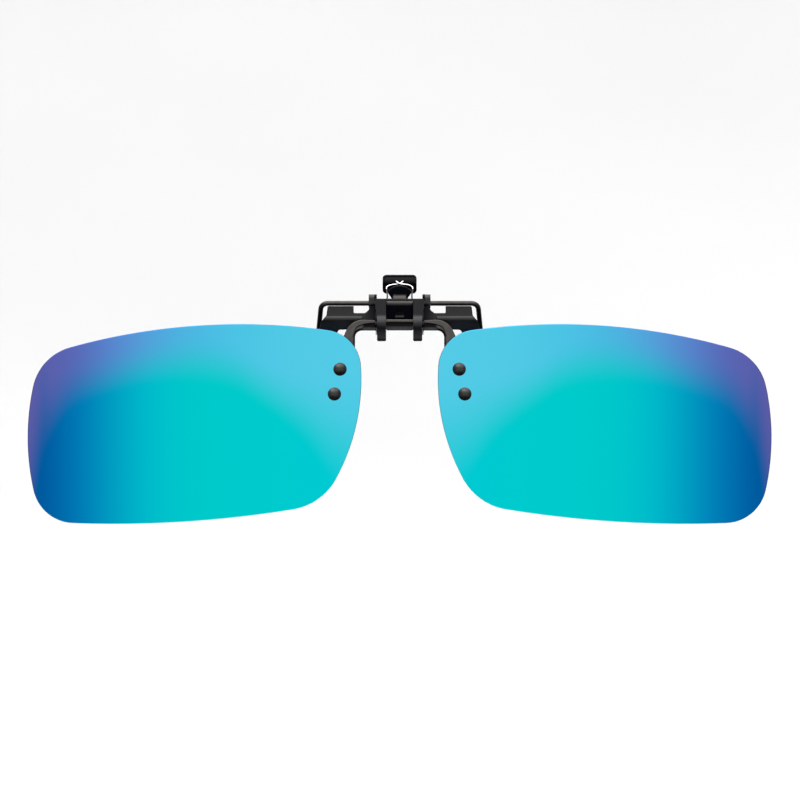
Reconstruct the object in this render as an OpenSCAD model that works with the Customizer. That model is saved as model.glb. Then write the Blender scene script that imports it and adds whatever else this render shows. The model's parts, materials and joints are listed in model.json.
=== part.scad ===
// Flip-up clip-on sunglasses: a spring clip that grips the bridge of a pair of spectacles,
// and two mirrored lenses on a bar that turns in the clip.
// Millimetres. X runs across the face, -Y is the front, Z is up.
// The origin is the middle of the grip, between the front pads and the rear sleeves.
// Every piece is drawn about the jaw hinge's axis, then moved to the grip's frame.

/* [Lenses] */
// Distance of each lens centre from the middle
lens_x = 36.65; // [36:0.05:38]
// Height of the lens centres below the jaw hinge
lens_drop = 21.6; // [21:0.1:22.5]
// Thickness of a lens
lens_t = 1.1; // [0.8:0.1:1.4]
// Radius of the lens's ball-shaped curve
lens_curve = 260; // [200:10:400]
// How far the middle of each lens stands in front of the jaw hinge
lens_front = 4; // [3.8:0.1:4.6]

/* [Rivets] */
// Diameter of a rivet's domed head
head_d = 2.4; // [2:0.1:2.8]
// Height of the dome
head_h = 0.55; // [0.4:0.05:0.8]
// Diameter of a rivet's shank
shank_d = 1.2; // [1:0.05:1.4]
// Thickness of the nylon washer behind the lens
washer_t = 0.25; // [0.15:0.05:0.35]

/* [Jaw plate] */
// Thickness of the stamped jaw plate
jaw_t = 0.7; // [0.6:0.05:0.8]
// How far the plate's front face stands behind the hinge axis
jaw_y = 0.8; // [0.8:0.05:0.9]
// Backward slope of the wings below their ridge
wing_slope = 20; // [16:1:22]
// Forward lean of the finger tab
tab_lean = 20; // [10:1:25]

/* [Hinge bracket] */
// Thickness of the folded bracket
bracket_t = 0.4; // [0.3:0.05:0.4]
// Height of the bracket's straps below the hinge axis
strap_drop = 6.8; // [6.6:0.1:7]

/* [Jaw wire] */
// Diameter of the hinge wire
wire_d = 0.9; // [0.8:0.05:0.9]
// Half of the wire's straight run, up to its corners
wire_run = 12.8; // [12.7:0.1:13]
// Backward slope of the wire's legs
leg_slope = 36; // [34:1:38]
// Outer diameter of the rubber sleeves
sleeve_d = 1.7; // [1.5:0.1:1.8]

/* [Thumb lever] */
// Thickness of the thumb lever
lever_t = 0.5; // [0.4:0.05:0.5]
// Width of the thumb tab
thumb_w = 6.12; // [5:0.1:6.2]
// Backward lean of the thumb tab
thumb_lean = 24; // [20:1:26]

/* [Torsion springs] */
// Diameter of the spring wire
spring_d = 0.28; // [0.24:0.02:0.3]
// Mean radius of the coil
coil_r = 0.62; // [0.6:0.01:0.62]

/* [Bridge] */
// Depth of the flip axis below the jaw hinge
flip_drop = 3.74; // [3.6:0.02:3.8]
// Radius of the bar's journals
journal_r = 1; // [0.95:0.01:1]
// Thickness of the curved arms and lens plates
arm_t = 0.85; // [0.7:0.05:0.85]

/* [Hidden] */
$fn = 64;
FINE = 2400;
EPS = 0.02;

// Colours
BLACK = [0.1, 0.1, 0.11];
GUNMETAL = [0.24, 0.22, 0.21];
STEEL = [0.8, 0.8, 0.8];
RUBBER = [0.16, 0.16, 0.17];
NYLON = [0.9, 0.9, 0.87];
MIRROR = [0.1, 0.7, 0.8];

// Flip axis, in the Y-Z plane of the jaw hinge
flip_y = -0.25;
flip_z = -flip_drop;
journal_gap = 0.05;

// Jaw plate
jaw_top = -0.47;
web_top = -0.25;
jaw_back = jaw_y + jaw_t;
web_half = 5.5;
web_bottom = -4.5;
wing_in = 8.2;
wing_out = 12.9;
wing_start = 6.75;
ridge_z = -2.78;
ridge_rise = 0.42;
ridge_h = 0.2;
leg_bend_z = -5.68;
leg_y = jaw_y + (ridge_z - leg_bend_z) * tan(wing_slope);
jaw_mid = jaw_y + jaw_t / 2;
leg_mid = leg_y + jaw_t / 2;
leg_in = 11.6;
leg_out = 14;
leg_tip = -12.7;
riser_in = 3.9;
riser_out = 4.45;
riser_top = 0.79;
tongue_tip = -6.2;
leaf_half = 0.85;

// Pads and sleeves that grip the spectacles
pad_back = 0.8;
pad_front = 0.4;
pad_low = -13.2;
pad_high = -9.7;
grip_gap = 0.3;
sleeve_z = -11.6;
sleeve_end = 0.4;
sleeve_mouth = 13.4;
sleeve_y = leg_y + jaw_t + pad_back + grip_gap + sleeve_d / 2;
grip_y = leg_y + jaw_t + pad_back + grip_gap / 2;
grip_z = sleeve_z;

// Hinge bracket
strap_in = 2.4;
cheek_in = 4;
cheek_out = 4.4;
strip_top = 0.84;
strip_low = 0.32;
bracket_y = -1.05;

// Thumb lever
base_y = 2.45;
ear_in = 4.06;
ear_out = 5.54;
ear_top = 1.42;
curl_in = 4.5;
curl_t = 0.4;
thumb_low = 1.93;
thumb_h = 3.14;
thumb_y = 2.85;

// Jaw wire
corner_r = 1.3;
leg_lean = 4.8;
leg_bend_r = 1.5;
foot_r = 0.9;
foot_tip = 11.2;

// Rivets, from the middle of each lens
upper_rivet = [-26, 9.8];
lower_rivet = [-25, 5.37];
flange_t = 0.2;
bushing_r = 1;

// ---- Outline helpers ----

function unit(v) = v / norm(v);
function turned(v) = [-v.y, v.x];
function wrapped(a) = a > 180 ? a - 360 : a < -180 ? a + 360 : a;
function arc(c, r, a0, a1, n) = [for (i = [0:n]) c + r * [cos(a0 + (a1 - a0) * i / n),
                                                        sin(a0 + (a1 - a0) * i / n)]];

// The arc of radius r that rounds corner b between points a and c
function corner(a, b, c, r, n) =
  r == 0 ? [b] :
  let (u = unit(a - b), v = unit(c - b), half = acos(u * v) / 2,
       middle = b + unit(u + v) * r / sin(half),
       p = b + u * r / tan(half) - middle, q = b + v * r / tan(half) - middle,
       from = atan2(p.y, p.x), sweep = wrapped(atan2(q.y, q.x) - from))
  arc(middle, r, from, from + sweep, n);

// A closed outline, and an open path, with their corners rounded
function pick(r, i) = is_list(r) ? r[i] : r;
function rounded(pts, r, n = 6) = let (m = len(pts))
  [for (i = [0:m - 1]) each corner(pts[(i + m - 1) % m], pts[i], pts[(i + 1) % m], pick(r, i), n)];
function bent(pts, r, n = 6) = let (m = len(pts))
  [pts[0], for (i = [1:m - 2]) each corner(pts[i - 1], pts[i], pts[i + 1], pick(r, i - 1), n),
   pts[m - 1]];

// The outline of a sheet of thickness t whose middle follows a path
function miter(path, i) =
  let (last = len(path) - 1,
       a = unit(turned(i == 0 ? path[1] - path[0] : path[i] - path[i - 1])),
       b = unit(turned(i == last ? path[last] - path[last - 1] : path[i + 1] - path[i])))
  (a + b) / (1 + a * b);
function sheet(path, t) = concat(
  [for (i = [0:len(path) - 1]) path[i] + miter(path, i) * t / 2],
  [for (i = [len(path) - 1:-1:0]) path[i] - miter(path, i) * t / 2]);

// Extrude an outline drawn in X-Z between two depths, or one drawn in Y-Z between two X
module deep(y0, y1) translate([0, y1, 0]) rotate([90, 0, 0]) linear_extrude(y1 - y0) children();
module across(x0, x1) translate([x0, 0, 0]) rotate([90, 0, 90]) linear_extrude(x1 - x0) children();
module rod_x(x0, x1, d) translate([x0, 0, 0]) rotate([0, 90, 0]) cylinder(h = x1 - x0, d = d);
module both_sides() {
  children();
  mirror([1, 0, 0]) children();
}
module from_grip() translate([0, -grip_y, -grip_z]) children();
module left_side() mirror([1, 0, 0]) children();

// ---- Lenses ----

// Each side of a lens is an arc [centre x, centre z, radius] about the lens's middle:
// top, outer, bottom, nasal. The corners between them are filleted.
lens_sides = [[-8.2, -95.5, 113.4], [-13.45, -2.4, 43.3], [14.5, 183.4, 201.25], [7.5, 8, 37.35]];
lens_fillets = [9.3, 7.5, 10.7, 6.9];

function side_c(i) = let (s = lens_sides[i % 4]) [s[0], s[1]];
function side_r(i) = lens_sides[i % 4][2];
function fillet_c(i) =
  let (r = lens_fillets[i % 4], a = side_r(i) - r, b = side_r(i + 1) - r,
       gap = side_c(i + 1) - side_c(i), d = norm(gap), e = gap / d,
       x = (a * a - b * b + d * d) / (2 * d))
  side_c(i) + x * e - sqrt(a * a - x * x) * turned(e);
function heading(v) = atan2(v.y, v.x);
function lens_outline() = [for (i = [0:3])
  let (f = fillet_c(i), g = fillet_c(i + 1), c = side_c(i), o = side_c(i + 1),
       from = heading(f - c), turn = wrapped(heading(f - o) - from),
       go = heading(f - o), run = wrapped(heading(g - o) - go),
       round = arc(f, lens_fillets[i], from, from + turn, 8),
       flank = arc(o, side_r(i + 1), go, go + run, 9))
  each concat(round, [for (k = [1:8]) flank[k]])];

// Put children on the front of the right lens at p, with -Y along the lens's outward normal
module on_lens(p) {
  up = -asin(p.y / lens_curve);
  translate([lens_x, lens_curve - lens_front, -lens_drop])
    rotate([up, 0, asin(p.x / (lens_curve * cos(up)))])
      translate([0, -lens_curve, 0]) children();
}

module lens_shell() translate([lens_x, -lens_front, -lens_drop]) rotate([90, 0, 0])
  rotate_extrude($fn = 120) intersection() {
    translate([0, -lens_curve]) difference() {
      circle(r = lens_curve, $fn = FINE);
      circle(r = lens_curve - lens_t, $fn = FINE);
    }
    translate([0, -6]) square([40, 7]);
  }

module lens() color(MIRROR) difference() {
  intersection() {
    lens_shell();
    translate([lens_x, 0, -lens_drop]) deep(-8, 8) polygon(lens_outline());
  }
  for (p = [upper_rivet, lower_rivet])
    on_lens(p) rotate([-90, 0, 0])
      translate([0, 0, -1]) cylinder(h = lens_t + 2, r = bushing_r + 0.03);
}

// ---- Fastenings, drawn from the lens's front along its normal ----

plate_y = lens_t + washer_t + 0.05;
tail_y = plate_y + arm_t + 0.03;
tail_h = 0.35;

module dome(r, h) rotate_extrude() intersection() {
  ball = (r * r + h * h) / (2 * h);
  translate([0, h - ball]) circle(r = ball, $fn = 240);
  square([r, h]);
}
module rivet(p) color(BLACK) on_lens(p) rotate([90, 0, 0]) {
  translate([0, 0, flange_t]) dome(head_d / 2, head_h);
  translate([0, 0, -tail_y - tail_h / 2])
    cylinder(h = tail_y + tail_h / 2 + flange_t + 0.1, d = shank_d);
  translate([0, 0, -tail_y]) mirror([0, 0, 1]) dome(1, tail_h);
}
module ring(r, y0, y1) translate([0, y0, 0]) rotate([-90, 0, 0]) difference() {
  cylinder(h = y1 - y0, r = r);
  translate([0, 0, -1]) cylinder(h = y1 - y0 + 2, d = shank_d + 2 * EPS);
}
module bushing(p) color(NYLON) on_lens(p) {
  ring(bushing_r + 0.15, -flange_t, -0.01);
  ring(bushing_r, -0.05, lens_t);
}
module washer(p) color(NYLON) on_lens(p) ring(1.5, lens_t + 0.01, lens_t + washer_t);

// ---- Bridge ----

rib_r = 0.42;
rib_z = 0.57;
rib_half = 0.32;
bar_half = 2.32;
bar_low = -1.14;
journal_in = 2.46;
journal_out = 3.95;
arm_in = 4.16;
arm_y0 = -0.75;
arm_y1 = arm_y0 + arm_t;
arm_bend = [6.5, -6.38];
inner_bend = [6.75, -6.1];
inner_r = 1.2;
step_y = arm_y0 + 0.3;
lip_y = -0.1;

// The bar between its journals: a rounded rib along its top, a web, and a lip that slopes back
module ribbed_bar() translate([0, flip_y, flip_z]) {
  across(-bar_half - 0.3, bar_half + 0.3) polygon(rounded([[-rib_r, rib_z - rib_half],
    [-rib_r, rib_z + rib_half], [rib_r, rib_z + rib_half], [rib_r, rib_z - rib_half]], 0.2, 4));
  across(-bar_half, bar_half) {
    translate([-0.2, bar_low + 0.4]) square([0.4, rib_z - bar_low - 0.4]);
    polygon(rounded([[-rib_r, -0.42], [0.15, bar_low], [rib_r, bar_low], [rib_r, -0.42]], 0.12, 3));
  }
  translate([0, 0, -rib_z]) for (x = [-journal_out, bar_half - 0.1])
    rod_x(x, x + journal_out - bar_half + 0.1, 2 * rib_r);
}
function arm_outline() = concat(
  [[arm_in, -3.04], [5.2, -2.98]], arc(arm_bend, 3.43, 90, 24.5, 12),
  [[10.05, -5.95], [11.34, -7.64], [11.5, -8.6], [11.2, -10.4], [8.8, -10.4], [7.95, -7.7]],
  arc(inner_bend, inner_r, 0, 90, 8), [[arm_in, -4.9]]);
// The raised band of each arm ends here, along its nose side
function band_edge() = [[4, -3.56], [5.35, -3.58], [6.24, -3.72], [6.99, -3.93], [7.54, -4.2],
  [7.84, -4.5], [8.03, -4.92], [8.16, -5.43], [8.25, -5.97], [8.3, -6.8], [8.35, -8.6]];

// What is cut from an arm's front beside the band: a step, and a face that slopes back from it
module arm_relief() {
  deep(arm_y0 - 1, step_y) polygon(concat(band_edge(), [[7, -8.6], [7, -5.5], [4, -5.5]]));
  across(4, inner_bend.x + 0.01)
    polygon([[-2, -4.3], [step_y, -4.3], [lip_y, -4.9], [lip_y, -5.5], [-2, -5.5]]);
  translate([inner_bend.x, 0, inner_bend.y]) rotate([90, 0, 0]) rotate_extrude(angle = 90)
    polygon([[0.8, 2], [inner_r + 0.4, 2], [inner_r + 0.4, -step_y], [inner_r - 0.1, -lip_y - 0.09]]);
  translate([0, 0, -8.6]) linear_extrude(8.6 + inner_bend.y + 0.01)
    polygon([[7.2, -2], [8.25, -2], [8.25, step_y], [7.95, lip_y], [7.2, lip_y]]);
}
lens_plate_top = [-26.7, 12.9];
plate_r = 1.75;

module lens_plate() {
  middle = (upper_rivet + lower_rivet) / 2;
  along = unit(lens_plate_top - lower_rivet);
  wide = turned(along) * plate_r;
  over = along * plate_r;
  a = lens_plate_top - middle;
  b = lower_rivet - middle;
  on_lens(middle) difference() {
    deep(plate_y, plate_y + arm_t)
      polygon(rounded([a + over + wide, b - over + wide, b - over - wide, a + over - wide],
        plate_r * 0.98, 8));
    for (p = [upper_rivet, lower_rivet])
      translate([p.x - middle.x, 0, p.y - middle.y]) rotate([-90, 0, 0])
        cylinder(h = 4, d = shank_d + 0.1);
  }
}

module bridge() color(GUNMETAL) {
  ribbed_bar();
  both_sides() {
    translate([0, flip_y, flip_z]) {
      rod_x(journal_in, journal_out, 2 * journal_r);
      rod_x(journal_out - 0.1, arm_in + 0.3, 1.4);
    }
    difference() {
      deep(arm_y0, arm_y1) polygon(arm_outline());
      arm_relief();
    }
    lens_plate();
  }
}

// ---- Jaw plate ----

// One half of the blank, seen from the front, and the radius of each of its corners
half_blank = [[0, web_top], [riser_in, web_top], [riser_in, riser_top], [riser_out, riser_top],
  [riser_out, web_top], [web_half, web_top], [web_half, -1.15], [6.2, -1.73], [wing_in, -1.73],
  [wing_in, jaw_top], [wing_out, jaw_top], [13.1, -2.15], [14.05, -3.25], [14.34, -4.6],
  [14.34, -6.2], [leg_out, -7.6], [leg_out, leg_tip], [leg_in, leg_tip], [leg_in, -6.2],
  [10.9, -4.75], [8.5, -4.7], [6.6, -3.3], [web_half, -3.3], [web_half, web_bottom],
  [3.9, web_bottom], [3.9, tongue_tip], [2.55, tongue_tip], [2.55, web_bottom],
  [1, web_bottom], [1, -3], [0, -3]];
blank_radii = [0, 0, 0.1, 0.1, 0, 0.1, 0.4, 0.4, 0.15, 0.1, 0.3, 0.6, 0.6, 0.5, 0.8, 0.5, 0.7, 0.7,
  0.9, 0.5, 0.8, 0.4, 0.3, 0.3, 0, 0.2, 0.2, 0.2, 0.2, 0.2, 0];

// Middle of the wing's sheet in Y-Z: a ridge along its front, then back to the leg
wing_path = bent([[jaw_mid, 1], [jaw_mid, ridge_z + ridge_rise], [jaw_mid - ridge_h, ridge_z],
  [leg_mid, leg_bend_z], [leg_mid, -14]], [0.4, 0.4, 0.6], 5);

// The finger tab on its neck, seen square on
neck_half = 1.45;
neck_top = 1.75;
tab_half = 2.1;
tab_bend_z = 1.5;
tab_side = [[neck_top, 0], [1.9, 0.25], [tab_half, 0.55], [tab_half, 0.92]];
function tab_outline() = concat([[-neck_half, -0.3], [neck_half, -0.3]],
  bent(tab_side, [0.4, 0.3], 3), arc([0, -0.68], 2.6, 38, 142, 16),
  bent([for (i = [3:-1:0]) [-tab_side[i].x, tab_side[i].y]], [0.3, 0.4], 3));

module jaw_plate() color(BLACK) difference() {
  union() {
    intersection() {
      deep(-1, 8) both_sides() polygon(rounded(half_blank, blank_radii, 5));
      union() {
        across(-wing_start, wing_start)
          polygon([[jaw_y, 1], [jaw_y, -8], [jaw_back, -8], [jaw_back, 1]]);
        for (x = [-20, wing_start - 0.1]) across(x, x + 20.1 - wing_start)
          polygon(sheet(wing_path, jaw_t));
      }
    }
    deep(jaw_y, jaw_back) polygon([[-neck_half, jaw_top - 0.3], [neck_half, jaw_top - 0.3],
      [neck_half, 0.8], [neck_top, tab_bend_z], [-neck_top, tab_bend_z], [-neck_half, 0.8]]);
    translate([0, jaw_back, tab_bend_z]) rotate([tab_lean, 0, 0])
      deep(-jaw_t, 0) polygon(tab_outline());
  }
  // Slot for the detent leaf, and slots for the bracket's tenons
  deep(0, 3) translate([-leaf_half, -1.64]) square([2 * leaf_half, 0.26]);
  for (s = [-1, 1]) deep(0, 3) translate([s * (cheek_in + cheek_out) / 2, 0.1])
    square([bracket_t + 2 * EPS, 0.7 + 2 * EPS], center = true);
}

module front_pad() color(RUBBER) difference() {
  deep(leg_y - pad_front, leg_y + jaw_t + pad_back) polygon(rounded([[leg_in - 0.4, pad_high],
    [leg_out + 0.4, pad_high], [leg_out + 0.4, pad_low], [leg_in - 0.4, pad_low]],
    [0.3, 0.3, 1.1, 1.1]));
  deep(leg_y - EPS, leg_y + jaw_t + EPS) translate([leg_in - EPS, leg_tip - EPS])
    square([leg_out - leg_in + 2 * EPS, 5]);
}

// ---- Hinge bracket ----

wrap_r = journal_r + journal_gap + bracket_t / 2;
wrap_a = acos((flip_y - bracket_y) / wrap_r);
bulge_z = -2.25;
bulge_slope = 22;
strap_path = concat(
  [[bracket_y, strip_top]],
  bent([[bracket_y, bulge_z + 0.3], [bracket_y, bulge_z],
    [flip_y, flip_z] + wrap_r * [-cos(bulge_slope), sin(bulge_slope)]], 0.5, 4),
  arc([flip_y, flip_z], wrap_r, 180 - bulge_slope + 6, 180 + wrap_a - 6, 10),
  bent([[bracket_y, flip_z - wrap_r * sin(wrap_a) - 0.3], [bracket_y, -strap_drop + bracket_t / 2],
    [jaw_back + 0.25, -strap_drop + bracket_t / 2], [jaw_back + 0.25, -5.7]], 0.35, 4));

module hinge_bracket() color(BLACK) {
  intersection() {
    across(-6, 6) polygon(sheet(strap_path, bracket_t));
    deep(-4, 4) {
      translate([-cheek_out, strip_low]) square([2 * cheek_out, 1]);
      both_sides() polygon(rounded([[strap_in, 1], [cheek_out, 1], [cheek_out, -0.4],
        [4.24, -1.6], [4.12, -2.4], [4.06, -3.2], [4.06, -strap_drop - 0.05],
        [strap_in, -strap_drop - 0.05]], [0, 0, 0, 0, 0, 0, 0.35, 0.35], 4));
    }
  }
  both_sides() difference() {
    union() {
      across(cheek_in, cheek_out) polygon(rounded([[bracket_y - bracket_t / 2, strip_top],
        [jaw_y, strip_top], [jaw_y, -0.75], [bracket_y - bracket_t / 2, -0.75]], [0, 0.2, 0.2, 0.3]));
      across(cheek_in, cheek_out) translate([jaw_y - 0.1, -0.25]) square([jaw_t + 0.25, 0.7]);
    }
    rod_x(cheek_in - 1, cheek_out + 1, wire_d + 0.06);
  }
}

// A small leaf: clinched on the web's front, through its slot, and down to rub on the bar
leaf_t = 0.2;
module detent_spring() color(BLACK) across(-leaf_half + 0.02, leaf_half - 0.02)
  polygon(sheet(bent([[jaw_y - leaf_t / 2 - 0.14, -2.55], [jaw_y - leaf_t / 2 - EPS, -2.2],
    [jaw_y - leaf_t / 2 - EPS, -1.5],
    [jaw_back + leaf_t / 2 + EPS, -1.5], [jaw_back + leaf_t / 2 + EPS, -3.15],
    [flip_y + journal_r + leaf_t / 2 + EPS, -3.74], [jaw_back, -4.45]],
    [0.15, 0.15, 0.15, 0.3, 0.4], 4), leaf_t));

// ---- Jaw wire, bent like a real one: straight runs and bends, one after another ----

// A thinner core runs on inside the bends, so that the runs and bends are one piece
core_d = wire_d - 0.1;
core_in = 0.1;
module run(l) {
  cylinder(h = l, d = wire_d);
  translate([0, 0, -core_in]) cylinder(h = l + 2 * core_in, d = core_d);
  translate([0, 0, l]) children();
}
module bend(a, r) {
  translate([r, 0, 0]) rotate([90, 0, 0]) rotate([0, 0, 180 - a])
    rotate_extrude(angle = a) translate([r, 0]) circle(d = wire_d);
  translate([r - r * cos(a), 0, r * sin(a)]) rotate([0, a, 0]) children();
}
// The legs spread outwards as they go down: by leg_lean along their slope, by foot_lean below it.
// A turn of foot_twist brings the feet square across.
foot_lean = asin(sin(leg_lean) * cos(leg_slope));
foot_twist = atan(sin(leg_slope) * tan(leg_lean));
corner_drop = corner_r * (1 - sin(leg_lean));
slope_len = (sleeve_y - leg_bend_r * (1 - cos(leg_slope))) / sin(leg_slope);
upper_run = (slope_len - corner_drop) / cos(leg_lean);
upright_z = -slope_len * cos(leg_slope) - leg_bend_r * sin(leg_slope);
lower_run = (upright_z - sleeve_z - foot_r * (1 + sin(foot_lean))) / cos(foot_lean);
foot_start = wire_run + corner_r * cos(leg_lean)
  + (upper_run + leg_bend_r * sin(leg_slope)) * sin(leg_lean)
  + lower_run * sin(foot_lean) - foot_r * cos(foot_lean);
module half_wire() translate([wire_run, 0, 0]) rotate([0, 90, 0]) rotate([0, 0, leg_slope])
  bend(90 - leg_lean, corner_r) run(upper_run) rotate([0, 0, -90]) bend(leg_slope, leg_bend_r)
    run(lower_run) rotate([0, 0, 90 - foot_twist]) bend(90 + foot_lean, foot_r) run(foot_start - foot_tip);
module jaw_wire() color(GUNMETAL) {
  rod_x(-wire_run, wire_run, wire_d);
  rod_x(-wire_run - core_in, wire_run + core_in, core_d);
  both_sides() half_wire();
}

// ---- Thumb lever ----

curl_r = wire_d / 2 + EPS + curl_t / 2;
module thumb_lever() color(BLACK) {
  // Cross bar behind the web, and the neck that rises from it
  deep(base_y - lever_t / 2, base_y + lever_t / 2)
    translate([-ear_out, -0.35]) square([2 * ear_out, 1.1]);
  across(-1.1, 1.1) polygon(sheet(bent([[base_y, 0.2], [base_y, 0.7],
    [thumb_y + 0.28, thumb_low + 0.1], [thumb_y + 0.5, thumb_low + 0.6]], 0.4, 4), lever_t));
  // Thumb tab with a raised rim on its top and sides
  translate([0, thumb_y, thumb_low]) rotate([-thumb_lean, 0, 0]) {
    tall = thumb_h / cos(thumb_lean);
    deep(0, lever_t) thumb_face(tall, 0, 0.7);
    deep(-0.22, 0.1) difference() {
      thumb_face(tall, 0, 0.7);
      thumb_face(tall, 0.3, 0.5);
      translate([-4, -1]) square([8, 1.4]);
    }
  }
  // Ears over the wire: their outer parts curl round it, and the curl's end is cut on the skew
  both_sides() difference() {
    across(ear_in, ear_out) polygon(sheet(concat(
      bent([[base_y, 0.3], [base_y, ear_top], [-curl_r, ear_top], [-curl_r, 0.3]], [0.5, 0.6], 5),
      arc([0, 0], curl_r, 180, 285, 8)), curl_t));
    translate([ear_in - 1, -3, -1.5]) cube([curl_in - ear_in + 1, 2.85, 4]);
    deep(-3, 1) polygon([[ear_in - 1, -2], [ear_in - 1, 0.1], [curl_in, 0.1], [4.95, -0.12],
      [5.5, -0.78], [5.5, -2]]);
  }
}
module thumb_face(tall, inset, r) polygon(rounded([[-thumb_w / 2 + inset, inset],
  [thumb_w / 2 - inset, inset], [thumb_w / 2 - inset, tall - inset],
  [-thumb_w / 2 + inset, tall - inset]], r));

module rear_sleeve() color(RUBBER) translate([0, sleeve_y, sleeve_z]) difference() {
  rod_x(foot_tip - sleeve_end, sleeve_mouth, sleeve_d);
  rod_x(foot_tip - core_in - EPS, sleeve_mouth + 1, wire_d + 2 * EPS);
}

// ---- Torsion springs, each one wire swept along its path ----

turns = 5 - 37.4 / 360;
coil_in = 2.34;
coil_out = 3.78;
function thumb_at(x, z, lift) =
  [x, thumb_y + (z - thumb_low) * tan(thumb_lean) - spring_d * 0.62 - lift, z];
// Smooth curve through hand-chosen points
function between(a, b, c, d, t) = ((3 * b - a - 3 * c + d) * t * t * t
  + (2 * a - 5 * b + 4 * c - d) * t * t + (c - a) * t + 2 * b) / 2;
function smooth(p, n) = let (m = len(p) - 1) [for (i = [0:m - 1], k = [0:n - 1])
  between(p[max(i - 1, 0)], p[i], p[i + 1], p[min(i + 2, m)], k / n)];
function spring_path(lift) = concat(
  smooth([thumb_at(-0.62, 3.95, lift), thumb_at(-0.15, 3.6, lift), thumb_at(0.4, 3.44, lift),
    thumb_at(1, 3.38, lift), thumb_at(1.6, 3.28, lift / 2), thumb_at(2.08, 3.07, 0),
    thumb_at(2.34, 2.74, 0), [2.28, 2.5, 2.05], [2.2, 1.7, 1.24], [coil_in, 0.51, -0.35]], 4),
  [for (i = [0:turns * 16]) let (a = -37.4 - i * 22.5)
    [coil_in + (coil_out - coil_in) * i / (turns * 16), coil_r * cos(a), coil_r * sin(a)]],
  smooth([[coil_out, coil_r, -0.2], [coil_out, coil_r, -0.75], [4.2, 0.63, -1.7],
    [4.2, 0.64, -3.2], [4.2, 0.64, -4.7], [4.16, 0.5, -5.55]], 3), [[4.16, 0.5, -5.55]]);

function heading_at(p, i) = unit(p[min(i + 1, len(p) - 1)] - p[max(i - 1, 0)]);
// Each ring's first direction is the one before it, carried along without twist
function flat_to(n, t) = unit(n - (n * t) * t);
function ring_sides(p) = [for (i = 0, n = flat_to([0, 1, 0.3], heading_at(p, 0)); i < len(p);
  i = i + 1, n = i < len(p) ? flat_to(n, heading_at(p, i)) : n) n];
module swept(p, d, sides) {
  n = ring_sides(p);
  points = [for (i = [0:len(p) - 1]) let (t = heading_at(p, i), u = cross(t, n[i]))
    for (k = [0:sides - 1]) p[i] + d / 2 * (n[i] * cos(360 * k / sides) + u * sin(360 * k / sides))];
  last = (len(p) - 1) * sides;
  polyhedron(points, concat(
    [[for (k = [0:sides - 1]) k]],
    [for (i = [0:len(p) - 2], k = [0:sides - 1])
      [i * sides + k, (i + 1) * sides + k, (i + 1) * sides + (k + 1) % sides, i * sides + (k + 1) % sides]],
    [[for (k = [sides - 1:-1:0]) last + k]]));
}
module torsion_spring(lift) color(STEEL) swept(spring_path(lift), spring_d, 8);

from_grip() jaw_plate();
from_grip() hinge_bracket();
from_grip() detent_spring();
from_grip() left_side() front_pad();  // left_front_pad
from_grip() front_pad();  // right_front_pad
from_grip() left_side() torsion_spring(0);  // left_torsion_spring
from_grip() torsion_spring(0.34);  // right_torsion_spring
from_grip() jaw_wire();
from_grip() thumb_lever();
from_grip() left_side() rear_sleeve();  // left_rear_sleeve
from_grip() rear_sleeve();  // right_rear_sleeve
from_grip() bridge();
from_grip() left_side() lens();  // left_lens
from_grip() lens();  // right_lens
from_grip() left_side() rivet(upper_rivet);  // left_upper_rivet
from_grip() left_side() rivet(lower_rivet);  // left_lower_rivet
from_grip() rivet(upper_rivet);  // right_upper_rivet
from_grip() rivet(lower_rivet);  // right_lower_rivet
from_grip() left_side() bushing(upper_rivet);  // left_upper_bushing
from_grip() left_side() bushing(lower_rivet);  // left_lower_bushing
from_grip() bushing(upper_rivet);  // right_upper_bushing
from_grip() bushing(lower_rivet);  // right_lower_bushing
from_grip() left_side() washer(upper_rivet);  // left_upper_washer
from_grip() left_side() washer(lower_rivet);  // left_lower_washer
from_grip() washer(upper_rivet);  // right_upper_washer
from_grip() washer(lower_rivet);  // right_lower_washer
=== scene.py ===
"""Looks of a pair of flip-up clip-on sunglasses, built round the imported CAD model.

Shapes are worked out in millimetres about the jaw hinge's axis, which the frame gives, and every
mesh is written in metres in the row frame. +X is to the viewer's right, -Y is the front, +Z is up.
"""
import json
import math

import bmesh
import bpy
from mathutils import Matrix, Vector
from mathutils.geometry import delaunay_2d_cdt


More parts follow.
